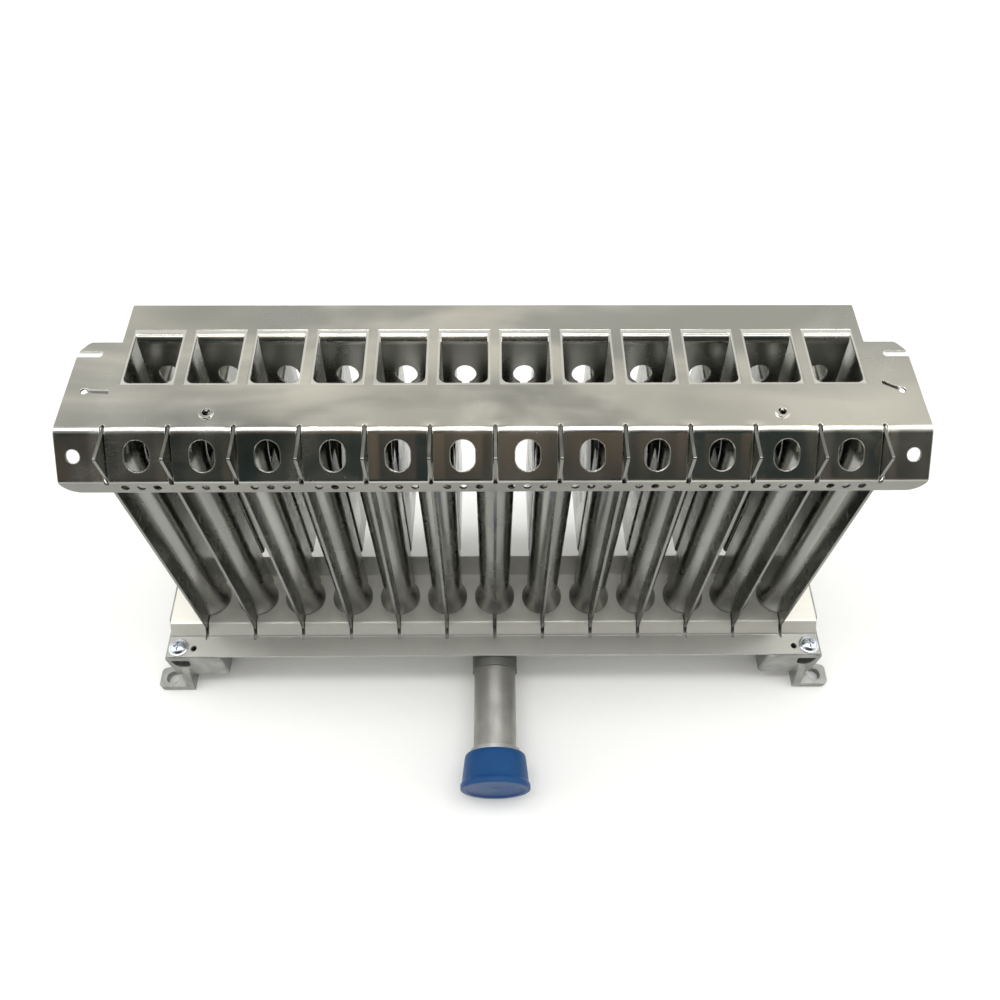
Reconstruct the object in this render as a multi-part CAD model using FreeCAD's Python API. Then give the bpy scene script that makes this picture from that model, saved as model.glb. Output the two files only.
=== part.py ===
"""Thirteen-blade atmospheric gas burner on its die-cast gas manifold.

Millimetres, +Z up. The burner stands on its manifold with the venturi tubes upright.
Places are given as (x, forward, below): x from the middle of the row, forward from the
datum plane towards the gas inlet, and below the top face of the head panel.
"""
import FreeCAD, Part
import math
import os

# ---- overall datums -------------------------------------------------------
HEIGHT = 157.2
FRONT_REACH = 78.0
REAR_REACH = 60.0
DATUM_Y = (FRONT_REACH - REAR_REACH) / 2

# ---- blade row ------------------------------------------------------------
BLADE_COUNT = 13
PITCH = 21.0
SHELL_T = 0.5
BLADE_TOP = 0.8
SEAM_FRONT = 11.2
BLADE_REAR = -58.0
BLADE_X = [(i - (BLADE_COUNT - 1) / 2) * PITCH for i in range(BLADE_COUNT)]
GAP_X = [(a + b) / 2 for a, b in zip(BLADE_X, BLADE_X[1:])]

# ---- venturi tube ---------------------------------------------------------
TUBE_AXIS = -3.0
TUBE_R_TOP = 6.8
TUBE_R_LOW = 6.35
TUBE_TOP = 24.0
TUBE_LOW = 115.0
TUBE_REAR = -10.0
TUBE_SHOULDER_END = 124.5
TURN_R = 12.0
MOUTH_R = 8.7
MOUTH_FLARE_R = 7.1
MOUTH_FLARE_BELOW = 121.6
MOUTH_LIP = 126.4
MOUTH_NECK_R = 8.2
MOUTH_END = 130.2

# ---- gas chamber and flame ports ------------------------------------------
CHAMBER_HALF = 6.5
CHAMBER_FRONT = -12.5
CHAMBER_TOP = 22.0
CHAMBER_LOW_FRONT = 104.0
CHAMBER_LOW_REAR = 112.0
CHAMBER_SHOULDER = (-24.0, 31.0)
CHAMBER_SHOULDER_LOW = 42.0
CHAMBER_FILLET = 1.5
SEAM_MARGIN = 3.5
SEAM_TOP_REAR = -44.0
SEAM_FRONT_R = 0.6
SEAM_LOW_R = 1.0
SEAM_REAR_LOW_R = 2.0
SEAM_REAR_TOP_R = 3.0
PORT_TOP = 27.0
PORT_LOW = 106.0
PORT_HALF = 5.0
PORT_T = 0.8
PORT_SLIT = (3.2, 0.7)
PORT_PITCH = 3.0
PORT_OPENING_HALF = 4.0
PORT_MARGIN = 1.0

# ---- sheet panels ---------------------------------------------------------
SHEET_T = 0.8
SLOT_W = 1.6
HEAD_HALF = 141.5
HEAD_STEP_HALF = 127.5
HEAD_STEP = -37.5
HEAD_REAR = -55.0
TOP_FOLD_R = 4.0
BAND_FOLD_R = 2.0
EAR_CORNER = (5.0, 4.5)
EAR_CORNER_MIDDLE = (2.5, 1.0)
CHAMFER = 12.3
CHAMFER_LOW = 12.0
BAND_LOW = 17.8
BAND_CORNER_R = 5.8
WINDOW_HALF = 8.2
WINDOW_FRONT = -19.3
WINDOW_REAR = -39.6
WINDOW_R = 2.6
FLAP_LENGTH = 20.0
FLAP_FOLD_R = 3.0
FLAP_HALF = 8.0
FLAP_ANGLE = math.radians(77)
KEYHOLE_R = 3.9
KEYHOLE_REACH = 15.6
KEYHOLE_NOTCH = 2.7
OBROUND_HALF = 4.1
OBROUND_LENGTH = 10.4
END_HOLE_X = 135.9
END_HOLE_R = 2.25
BAND_HOLE_R = 1.35
BAND_HOLE_STEP = 5.25
BAND_HOLE_BELOW = 15.0
SLOT_START = -2.0
SLOT_END = 13.6
EAR_SLOT_AT = -32.0
EAR_SLOT_END_X = 133.0
EAR_SLOT_W = 2.4
HOOK_HOLE = (135.3, -16.0)
HOOK_HOLE_R = 1.3
HOOK_SLIT_W = 1.5
HOOK_LIP_DEPTH = 3.0
HOOK_SLIT_ENDS = {-1: (127.2, -15.6), 1: (129.4, -19.4)}
EYELET_AT = (93.6, -6.8)
EYELET_R = 2.4
EYELET_HOLE_R = 1.4
EYELET_RISE = 0.5

FRONT_HALF = 142.0
FRONT_WEB = 127.4
FRONT_RISER_START = 9.5
FRONT_RISER_END = 14.0
FRONT_FLANGE = 131.6
FRONT_FLANGE_EDGE = 23.3
FRONT_REAR_FOLD = -13.8
FRONT_REAR_EDGE = (-21.6, 123.8)
FRONT_FOLD_R = 1.6
FRONT_SLOT_END = 15.6
MOUTH_HOLE_R = 8.3
SCREW_AT = (137.8, 19.0)
PILOT_AT = (131.2, 19.5)
PILOT_R = 1.3

# ---- cast manifold --------------------------------------------------------
BAR_HALF = 143.0
BAR_REAR = -24.0
BAR_FRONT = 10.0
BAR_TOP = 139.0
GALLERY_AT = (-4.0, 149.0)
GALLERY_R = 6.0
BLOCK_INNER = 119.5
BLOCK_FRONT = 24.0
BLOCK_LOW = 150.0
CHEEK_INNER = 136.0
FOOT_INNER = 136.0
FOOT_OUTER = 151.5
FOOT_REAR = 20.0
FOOT_FRONT = 28.7
FOOT_T = 3.5
FOOT_HOLE = (146.0, 24.2)
FOOT_HOLE_R = 2.75
GUSSET_T = 3.0
POCKET = (133.2, 141.5, 134.5, 141.5)
POCKET_DEPTH = 8.0
POCKET_TAPER = 1.0
POCKET_TOP_R = 0.8
POCKET_LOW_R = 3.0
CAST_LAP = 2.0
CAST_EDGE_R = 0.5
BAR_EDGE_R = 1.5
BLOCK_INNER_R = 1.5
CHEEK_REAR_R = 3.0
CHEEK_LOW = 14.0
CHEEK_LIP = 1.0
GUSSET_RISE = 4.0
GUSSET_TOP = 142.5
FOOT_R = 2.0

# ---- gas inlet ------------------------------------------------------------
INLET_BELOW = 142.4
BOSS_R = 9.8
BOSS_REAR = 2.0
BOSS_FRONT = 27.0
PIPE_R = 9.0
PIPE_BORE_R = 5.5
SPIGOT_R = 7.5
SPIGOT_REAR = 13.0
SPIGOT_FRONT = 67.0
LINK_R = 4.0
LINK_BELOW = 146.0
LINK_START = 7.0
FITTING_REAR = 61.5
FITTING_FRONT = 76.0
FITTING_R = 10.4775
FITTING_COLLAR_R = 10.3
FITTING_BORE_R = 7.0
THREAD_START = 64.4
THREAD_TURNS = 6
THREAD_PITCH = 1.814
THREAD_DEPTH = 0.9
THREAD_FLANKS = (0.4, 0.6)
CAP_REAR = 63.4
CAP_BORE_R = 10.55
CAP_BORE_END = 76.4
CAP_R_REAR = 12.8
CAP_R_FRONT = 13.6
CAP_FLANGE_R = 14.5
CAP_FLANGE_START = 75.0
CAP_CHAMFER = 0.8
CAP_FRONT_CHAMFER = 0.5

# ---- injectors, plugs and screws ------------------------------------------
INJECTOR_THREAD_R = 3.0
INJECTOR_HEX = 7.0
WASHER_R = 4.4
WASHER_T = 0.8
INJECTOR_HEX_H = 3.0
INJECTOR_NOSE_R = 2.4
INJECTOR_NOSE_H = 2.0
INJECTOR_BORE_R = 1.5
INJECTOR_JET_R = 0.6
INJECTOR_DEPTH = 4.0
PLUG_LENGTH = 10.0
PLUG_HEX = 6.0
PLUG_HEX_DEPTH = 5.0
SCREW_HEAD_R = 4.15
SCREW_HEAD_H = 2.2
SCREW_EDGE_H = 1.2
SCREW_R = 2.0
SCREW_LENGTH = 8.0
RECESS_LENGTH = 4.6
RECESS_W = 1.1
RECESS_DEPTH = 1.5

X_DIRECTION = FreeCAD.Vector(1, 0, 0)
UP = FreeCAD.Vector(0, 0, 1)
FORWARD = FreeCAD.Vector(0, -1, 0)
SIDES = (-1, 1)
TOUCH = 1e-6
OVERCUT = 1.0


def place(x, forward, below):
    """Turn the burner's own coordinates into the model frame."""
    return FreeCAD.Vector(x, DATUM_Y - forward, HEIGHT - below)


# ---- outlines and prisms --------------------------------------------------
def rounded_face(corners, to_space):
    """Face inside a closed outline of (a, b, radius) corners, with round corners as arcs."""
    spots = [FreeCAD.Vector(a, b, 0) for a, b, _ in corners]
    stretches = []
    for i, (_, _, radius) in enumerate(corners):
        here = spots[i]
        back = (spots[i - 1] - here).normalize()
        onward = (spots[(i + 1) % len(spots)] - here).normalize()
        half_turn = back.getAngle(onward) / 2
        cut = radius / math.tan(half_turn)
        start = here + back * cut
        end = here + onward * cut
        middle = here + (back + onward).normalize() * (radius / math.sin(half_turn) - radius)
        stretches.append((start, middle, end, radius))
    edges = []
    for i, (start, middle, end, radius) in enumerate(stretches):
        before = stretches[i - 1][2]
        if (start - before).Length > TOUCH:
            edges.append(Part.LineSegment(to_space(before), to_space(start)).toShape())
        if radius > 0:
            edges.append(Part.Arc(to_space(start), to_space(middle), to_space(end)).toShape())
    return Part.Face(Part.Wire(edges))


def side_prism(corners, x_low, x_high):
    """Extrude a (forward, below, radius) outline along X."""
    face = rounded_face(corners, lambda p: place(x_low, p.x, p.y))
    return face.extrude(X_DIRECTION * (x_high - x_low))


def plan_prism(corners, below_top, below_low):
    """Extrude an (x, forward, radius) outline downwards."""
    face = rounded_face(corners, lambda p: place(p.x, p.y, below_low))
    return face.extrude(UP * (below_low - below_top))


def front_prism(corners, rear, front):
    """Extrude an (x, below, radius) outline forwards."""
    face = rounded_face(corners, lambda p: place(p.x, rear, p.y))
    return face.extrude(FORWARD * (front - rear))


def rectangle(a_low, a_high, b_low, b_high, radius=0.0):
    ends = [(a_low, b_low), (a_high, b_low), (a_high, b_high), (a_low, b_high)]
    return [(a, b, radius) for a, b in ends]


def upright_rod(x, forward, below_top, below_low, radius):
    return Part.makeCylinder(radius, below_low - below_top, place(x, forward, below_low), UP)


def forward_rod(below, rear, front, radius, x=0.0):
    return Part.makeCylinder(radius, front - rear, place(x, rear, below), FORWARD)


def turned(profile, axis_below):
    """Solid of revolution about the inlet axis from (forward, radius) points."""
    points = [place(0, forward, axis_below - radius) for forward, radius in profile]
    face = Part.Face(Part.makePolygon(points + points[:1]))
    return face.revolve(place(0, 0, axis_below), FORWARD, 360)


def fuse_all(solids):
    return solids[0].multiFuse(solids[1:]).removeSplitter()


def both_sides(solid):
    """The solid and its mirror image about the middle plane."""
    return [solid, solid.mirror(FreeCAD.Vector(0, 0, 0), X_DIRECTION)]


def hexagon(width_across_flats, a_middle, b_middle):
    radius = width_across_flats / math.sqrt(3)
    angles = [i * math.pi / 3 for i in range(6)]
    return [(a_middle + radius * math.cos(t), b_middle + radius * math.sin(t), 0) for t in angles]


# ---- blade shells ---------------------------------------------------------
def tube_section(radius, rear, below):
    """Half of the tube's section: a round front and straight sides back to a shoulder."""
    slant = radius * math.sqrt(0.5)
    front = place(0, TUBE_AXIS + radius, below)
    side = place(radius, TUBE_AXIS, below)
    edges = [
        Part.Arc(front, place(slant, TUBE_AXIS + slant, below), side).toShape(),
        Part.LineSegment(side, place(radius, rear, below)).toShape(),
        Part.LineSegment(place(radius, rear, below), place(0, rear, below)).toShape(),
        Part.LineSegment(place(0, rear, below), front).toShape(),
    ]
    return Part.Wire(edges)


def half_tube(inset):
    rear = TUBE_REAR + inset
    top = tube_section(TUBE_R_TOP - inset, rear, TUBE_TOP)
    low = tube_section(TUBE_R_LOW - inset, rear, TUBE_LOW)
    foot = tube_section(TUBE_R_LOW - inset, rear, TUBE_SHOULDER_END - inset)
    return [Part.makeLoft([top, low], True, True), Part.makeLoft([low, foot], True, True)]


def half_turn_back(inset):
    """The bend that carries the gas mixture from the tube over into the chamber."""
    radius = TUBE_R_TOP - inset
    front = place(0, TUBE_AXIS + radius, TUBE_TOP)
    rear = place(0, TUBE_AXIS - radius, TUBE_TOP)
    arc = Part.Arc(front, place(radius, TUBE_AXIS, TUBE_TOP), rear).toShape()
    face = Part.Face(Part.Wire([arc, Part.LineSegment(rear, front).toShape()]))
    return face.revolve(place(0, TUBE_AXIS - TURN_R, TUBE_TOP), X_DIRECTION * -1, 180)


def half_mouth(inset):
    """Bell mouth: a flare, a lip that sits on the front panel and a neck through its hole."""
    start = place(0, TUBE_AXIS + TUBE_R_LOW - inset, TUBE_LOW)
    flare = place(0, TUBE_AXIS + MOUTH_FLARE_R - inset, MOUTH_FLARE_BELOW)
    lip = place(0, TUBE_AXIS + MOUTH_R - inset, MOUTH_LIP)
    neck_r = MOUTH_NECK_R - inset
    end = MOUTH_END + (OVERCUT if inset else 0)
    straight = [
        lip,
        place(0, TUBE_AXIS + MOUTH_R - inset, FRONT_WEB - inset),
        place(0, TUBE_AXIS + neck_r, FRONT_WEB - inset),
        place(0, TUBE_AXIS + neck_r, end),
        place(0, TUBE_AXIS, end),
        place(0, TUBE_AXIS, TUBE_LOW),
        start,
    ]
    edges = [Part.Arc(start, flare, lip).toShape()]
    edges += [Part.LineSegment(a, b).toShape() for a, b in zip(straight, straight[1:])]
    return Part.Face(Part.Wire(edges)).revolve(place(0, TUBE_AXIS, 0), UP, 180)


def half_chamber(inset):
    shoulder_forward, shoulder_below = CHAMBER_SHOULDER
    corners = [
        (CHAMBER_FRONT - inset, CHAMBER_LOW_FRONT - inset, 0),
        (BLADE_REAR + inset, CHAMBER_LOW_REAR - inset, 0),
        (BLADE_REAR + inset, CHAMBER_TOP + inset, 0),
        (shoulder_forward - inset, CHAMBER_TOP + inset, 0),
        (shoulder_forward - inset, shoulder_below + inset, 0),
        (CHAMBER_FRONT - inset, CHAMBER_SHOULDER_LOW + inset, 0),
    ]
    half = CHAMBER_HALF - inset
    solid = side_prism(corners, 0, half)
    rim = [e for e in solid.Edges if all(abs(v.X - half) < TOUCH for v in e.Vertexes)]
    return solid.makeFillet(CHAMBER_FILLET - inset, rim)


def half_blade():
    """Right-hand half shell of a blade that stands at x = 0."""
    seam = [
        (SEAM_FRONT, BLADE_TOP, SEAM_FRONT_R),
        (SEAM_FRONT, MOUTH_END, SEAM_LOW_R),
        (TUBE_AXIS - MOUTH_FLARE_R, MOUTH_END, 0),
        (TUBE_AXIS - MOUTH_FLARE_R, TUBE_SHOULDER_END, 0),
        (CHAMBER_FRONT, TUBE_SHOULDER_END, SEAM_LOW_R),
        (CHAMBER_FRONT, CHAMBER_LOW_FRONT + SEAM_MARGIN, SEAM_LOW_R),
        (BLADE_REAR, CHAMBER_LOW_REAR + SEAM_MARGIN, SEAM_REAR_LOW_R),
        (BLADE_REAR, CHAMBER_TOP - SEAM_MARGIN, SEAM_REAR_TOP_R),
        (SEAM_TOP_REAR, BLADE_TOP, SEAM_REAR_TOP_R),
    ]
    outer = [side_prism(seam, 0, SHELL_T), half_turn_back(0), half_mouth(0), half_chamber(0)] + half_tube(0)
    port_ends = (PORT_TOP + PORT_MARGIN, PORT_LOW - PORT_MARGIN)
    port = rectangle(BLADE_REAR - OVERCUT, BLADE_REAR + OVERCUT, *port_ends)
    inner = [half_turn_back(SHELL_T), half_mouth(SHELL_T), half_chamber(SHELL_T)] + half_tube(SHELL_T)
    inner.append(side_prism(port, 0, PORT_OPENING_HALF))
    return fuse_all(outer).cut(fuse_all(inner)).removeSplitter()


def port_strip():
    """Crowned strip over the chamber's rear opening, with a row of flame slits."""
    def arc(half, rise):
        left = place(-half, BLADE_REAR, PORT_LOW)
        crown = place(0, BLADE_REAR - rise, PORT_LOW)
        return Part.Arc(left, crown, place(half, BLADE_REAR, PORT_LOW)).toShape()
    rise = -REAR_REACH - BLADE_REAR
    outer = arc(PORT_HALF, -rise)
    inner = arc(PORT_HALF - PORT_T, -rise - PORT_T)
    ends = []
    for side in SIDES:
        foot = place(side * PORT_HALF, BLADE_REAR, PORT_LOW)
        heel = place(side * (PORT_HALF - PORT_T), BLADE_REAR, PORT_LOW)
        ends.append(Part.LineSegment(foot, heel).toShape())
    section = Part.Face(Part.Wire([outer, ends[1], inner, ends[0]]))
    strip = section.extrude(UP * (PORT_LOW - PORT_TOP))
    half, height = PORT_SLIT
    slit_count = int((PORT_LOW - PORT_TOP) / PORT_PITCH) - 1
    slits = []
    for i in range(slit_count):
        middle = (PORT_TOP + PORT_LOW) / 2 + (i - (slit_count - 1) / 2) * PORT_PITCH
        slit = rectangle(-half, half, middle - height / 2, middle + height / 2)
        slits.append(front_prism(slit, -REAR_REACH - OVERCUT, BLADE_REAR + OVERCUT))
    return strip.cut(Part.makeCompound(slits))


# ---- head panel -----------------------------------------------------------
def head_profile():
    """Bent section: flat top, 45 degree chamfer and a short upright band."""
    run = SHEET_T * math.tan(math.radians(22.5))
    return [
        (HEAD_REAR, 0, 0),
        (0, 0, TOP_FOLD_R),
        (CHAMFER, CHAMFER_LOW, BAND_FOLD_R),
        (CHAMFER, BAND_LOW, 0),
        (CHAMFER - SHEET_T, BAND_LOW, 0),
        (CHAMFER - SHEET_T, CHAMFER_LOW + run, BAND_FOLD_R - SHEET_T),
        (-run, SHEET_T, TOP_FOLD_R - SHEET_T),
        (HEAD_REAR, SHEET_T, 0),
    ]


def head_flap(middle):
    """Tongue bent down from a window's rear edge, with a keyhole open to its free end."""
    along = (math.cos(FLAP_ANGLE), math.sin(FLAP_ANGLE))
    behind = (-along[1], along[0])
    tip = (WINDOW_REAR + FLAP_LENGTH * along[0], FLAP_LENGTH * along[1])
    tip_rear = (tip[0] + SHEET_T * behind[0], tip[1] + SHEET_T * behind[1])
    root = WINDOW_REAR - SHEET_T / math.tan(FLAP_ANGLE / 2)
    corners = [
        (WINDOW_REAR - 2 * FLAP_FOLD_R, 0, 0),
        (WINDOW_REAR, 0, FLAP_FOLD_R),
        (tip[0], tip[1], 0),
        (tip_rear[0], tip_rear[1], 0),
        (root, SHEET_T, FLAP_FOLD_R - SHEET_T),
        (WINDOW_REAR - 2 * FLAP_FOLD_R, SHEET_T, 0),
    ]
    flap = side_prism(corners, middle - FLAP_HALF, middle + FLAP_HALF)
    centre = place(middle, WINDOW_REAR + KEYHOLE_REACH * along[0], KEYHOLE_REACH * along[1])
    normal = FreeCAD.Vector(0, -along[1], along[0])
    hole = Part.makeCylinder(KEYHOLE_R, 4 * SHEET_T, centre - normal * (2 * SHEET_T), normal)
    notch = Part.makeBox(KEYHOLE_NOTCH, 4 * SHEET_T, FLAP_LENGTH)
    notch.translate(FreeCAD.Vector(-KEYHOLE_NOTCH / 2, -2 * SHEET_T, -FLAP_LENGTH))
    notch.rotate(FreeCAD.Vector(0, 0, 0), X_DIRECTION, 90 - math.degrees(FLAP_ANGLE))
    notch.translate(centre)
    return flap.cut(hole).cut(notch)


def hook_band(side, rear, front, below_top, below_low):
    """Strip along a hook slit, between two distances forward of the slit's middle line."""
    hole_x, hole_forward = HOOK_HOLE
    end_x, end_forward = HOOK_SLIT_ENDS[side]
    corners = [
        (side * hole_x, hole_forward + rear, 0),
        (side * hole_x, hole_forward + front, 0),
        (side * end_x, end_forward + front, 0),
        (side * end_x, end_forward + rear, 0),
    ]
    return plan_prism(corners, below_top, below_low)


def hook_lip(side):
    """Edge of the hook slit that is turned down behind it."""
    rear = -HOOK_SLIT_W / 2 - SHEET_T
    hole_x, hole_forward = HOOK_HOLE
    hole = upright_rod(side * hole_x, hole_forward, 0, HOOK_LIP_DEPTH + OVERCUT, HOOK_HOLE_R)
    return hook_band(side, rear, -HOOK_SLIT_W / 2, SHEET_T / 2, HOOK_LIP_DEPTH).cut(hole)


def head_plan_cuts():
    """Rear corners, ear slots, windows, hook slits and eyelet holes."""
    cuts = []
    step = rectangle(HEAD_STEP_HALF, HEAD_HALF + OVERCUT, HEAD_REAR - OVERCUT, HEAD_STEP)
    cuts += both_sides(plan_prism(step, -OVERCUT, SHEET_T + OVERCUT))
    across, along = EAR_CORNER
    middle_across, middle_along = EAR_CORNER_MIDDLE
    corner = [
        (HEAD_HALF, HEAD_STEP - OVERCUT, 0),
        (HEAD_HALF + OVERCUT, HEAD_STEP + along, 0),
        (HEAD_HALF, HEAD_STEP + along, 0),
        (HEAD_HALF - middle_across, HEAD_STEP + middle_along, 0),
        (HEAD_HALF - across, HEAD_STEP - OVERCUT, 0),
    ]
    cuts += both_sides(plan_prism(corner, -OVERCUT, SHEET_T + OVERCUT))
    ear_end = EAR_SLOT_W / 2
    ear = [
        (EAR_SLOT_END_X, EAR_SLOT_AT - EAR_SLOT_W / 2, ear_end),
        (HEAD_HALF + OVERCUT, EAR_SLOT_AT - EAR_SLOT_W / 2, 0),
        (HEAD_HALF + OVERCUT, EAR_SLOT_AT + EAR_SLOT_W / 2, 0),
        (EAR_SLOT_END_X, EAR_SLOT_AT + EAR_SLOT_W / 2, ear_end),
    ]
    cuts += both_sides(plan_prism(ear, -OVERCUT, SHEET_T + OVERCUT))
    for middle in GAP_X:
        left = middle - WINDOW_HALF
        right = middle + WINDOW_HALF
        window = rectangle(left, right, WINDOW_REAR - FLAP_FOLD_R, WINDOW_FRONT, WINDOW_R)
        cuts.append(plan_prism(window, -OVERCUT, SHEET_T + OVERCUT))
    for side in SIDES:
        eyelet_x, eyelet_forward = EYELET_AT
        cuts.append(upright_rod(side * eyelet_x, eyelet_forward, -OVERCUT, SHEET_T + OVERCUT, EYELET_HOLE_R))
        hole_x, hole_forward = HOOK_HOLE
        cuts.append(upright_rod(side * hole_x, hole_forward, -OVERCUT, SHEET_T + OVERCUT, HOOK_HOLE_R))
        cuts.append(hook_band(side, -HOOK_SLIT_W / 2, HOOK_SLIT_W / 2, -OVERCUT, SHEET_T + OVERCUT))
    return cuts


def head_front_cuts():
    """Blade slots, chamfer holes, band holes and the band's round lower corners."""
    cuts = []
    slot_end = SLOT_W / 2
    rear = CHAMFER - SHEET_T - OVERCUT
    for x in BLADE_X:
        slot = [
            (x - SLOT_W / 2, SLOT_START, slot_end),
            (x + SLOT_W / 2, SLOT_START, slot_end),
            (x + SLOT_W / 2, rear, 0),
            (x - SLOT_W / 2, rear, 0),
        ]
        cuts.append(plan_prism(slot, -OVERCUT, CHAMFER))
        lower = [
            (x - SLOT_W / 2, -OVERCUT, 0),
            (x + SLOT_W / 2, -OVERCUT, 0),
            (x + SLOT_W / 2, SLOT_END, slot_end),
            (x - SLOT_W / 2, SLOT_END, slot_end),
        ]
        cuts.append(front_prism(lower, CHAMFER / 2, CHAMFER + OVERCUT))
    outward = FreeCAD.Vector(0, -1, 1).normalize()
    reach = outward * (2 * SHEET_T)
    slope_middle = place(0, CHAMFER / 2, CHAMFER_LOW / 2)
    down_slope = FreeCAD.Vector(0, -1, -1).normalize()
    straight = OBROUND_LENGTH - 2 * OBROUND_HALF
    for middle in GAP_X:
        centre = slope_middle + FreeCAD.Vector(middle, 0, 0)
        for shift in (-straight / 2, straight / 2):
            start = centre + down_slope * shift - reach
            cuts.append(Part.makeCylinder(OBROUND_HALF, 4 * SHEET_T, start, outward))
        first = centre - down_slope * (straight / 2) - X_DIRECTION * OBROUND_HALF - reach
        across = X_DIRECTION * (2 * OBROUND_HALF)
        down = down_slope * straight
        square = Part.makePolygon([first, first + across, first + across + down, first + down, first])
        cuts.append(Part.Face(square).extrude(reach * 2))
        for step in (-1, 0, 1):
            hole_x = middle + step * BAND_HOLE_STEP
            cuts.append(forward_rod(BAND_HOLE_BELOW, rear, CHAMFER + OVERCUT, BAND_HOLE_R, hole_x))
    for side in SIDES:
        start = slope_middle + FreeCAD.Vector(side * END_HOLE_X, 0, 0) - reach
        cuts.append(Part.makeCylinder(END_HOLE_R, 4 * SHEET_T, start, outward))
    inner = HEAD_HALF - BAND_CORNER_R
    slant = BAND_CORNER_R * math.sqrt(0.5)
    centre_below = BAND_LOW - BAND_CORNER_R
    ring = Part.Arc(place(inner, rear, BAND_LOW), place(inner + slant, rear, centre_below + slant),
                    place(HEAD_HALF, rear, centre_below)).toShape()
    outside = [
        place(HEAD_HALF, rear, centre_below),
        place(HEAD_HALF + OVERCUT, rear, centre_below),
        place(HEAD_HALF + OVERCUT, rear, BAND_LOW + OVERCUT),
        place(inner, rear, BAND_LOW + OVERCUT),
        place(inner, rear, BAND_LOW),
    ]
    sides = [Part.LineSegment(a, b).toShape() for a, b in zip(outside, outside[1:])]
    corner = Part.Face(Part.Wire([ring] + sides)).extrude(FORWARD * (SHEET_T + 2 * OVERCUT))
    return cuts + both_sides(corner)


def head_panel():
    sheet = side_prism(head_profile(), -HEAD_HALF, HEAD_HALF)
    sheet = sheet.cut(Part.makeCompound(head_plan_cuts())).cut(Part.makeCompound(head_front_cuts()))
    pieces = [sheet] + [head_flap(middle) for middle in GAP_X]
    for side in SIDES:
        rim = upright_rod(side * EYELET_AT[0], EYELET_AT[1], -EYELET_RISE, SHEET_T, EYELET_R)
        bore = upright_rod(side * EYELET_AT[0], EYELET_AT[1], -OVERCUT, SHEET_T + OVERCUT, EYELET_HOLE_R)
        pieces += [rim.cut(bore), hook_lip(side)]
    return fuse_all(pieces)


# ---- front panel ----------------------------------------------------------
def front_panel():
    """Bent sheet that carries the bell mouths and screws on to the manifold."""
    edge_forward, edge_below = FRONT_REAR_EDGE
    slope = math.atan2(FRONT_WEB - edge_below, FRONT_REAR_FOLD - edge_forward)
    rear_run = SHEET_T * math.tan(slope / 2)
    riser = math.atan2(FRONT_FLANGE - FRONT_WEB, FRONT_RISER_END - FRONT_RISER_START)
    riser_run = SHEET_T * math.tan(riser / 2)
    inner_r = FRONT_FOLD_R - SHEET_T
    corners = [
        (edge_forward, edge_below, 0),
        (FRONT_REAR_FOLD, FRONT_WEB, inner_r),
        (FRONT_RISER_START, FRONT_WEB, FRONT_FOLD_R),
        (FRONT_RISER_END, FRONT_FLANGE, inner_r),
        (FRONT_FLANGE_EDGE, FRONT_FLANGE, 0),
        (FRONT_FLANGE_EDGE, FRONT_FLANGE + SHEET_T, 0),
        (FRONT_RISER_END - riser_run, FRONT_FLANGE + SHEET_T, FRONT_FOLD_R),
        (FRONT_RISER_START - riser_run, FRONT_WEB + SHEET_T, inner_r),
        (FRONT_REAR_FOLD - rear_run, FRONT_WEB + SHEET_T, FRONT_FOLD_R),
        (edge_forward - SHEET_T * math.sin(slope), edge_below + SHEET_T * math.cos(slope), 0),
    ]
    sheet = side_prism(corners, -FRONT_HALF, FRONT_HALF)
    low = FRONT_FLANGE + SHEET_T + OVERCUT
    high = FRONT_WEB - OVERCUT
    slot_end = SLOT_W / 2
    cuts = []
    for x in BLADE_X:
        slot = [
            (x - SLOT_W / 2, TUBE_AXIS, 0),
            (x - SLOT_W / 2, FRONT_SLOT_END, slot_end),
            (x + SLOT_W / 2, FRONT_SLOT_END, slot_end),
            (x + SLOT_W / 2, TUBE_AXIS, 0),
        ]
        cuts.append(upright_rod(x, TUBE_AXIS, high, low, MOUTH_HOLE_R))
        cuts.append(plan_prism(slot, high, low))
    for side in SIDES:
        cuts.append(upright_rod(side * SCREW_AT[0], SCREW_AT[1], high, low, SCREW_R))
        cuts.append(upright_rod(side * PILOT_AT[0], PILOT_AT[1], high, low, PILOT_R))
    return sheet.cut(Part.makeCompound(cuts)).removeSplitter()


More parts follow.
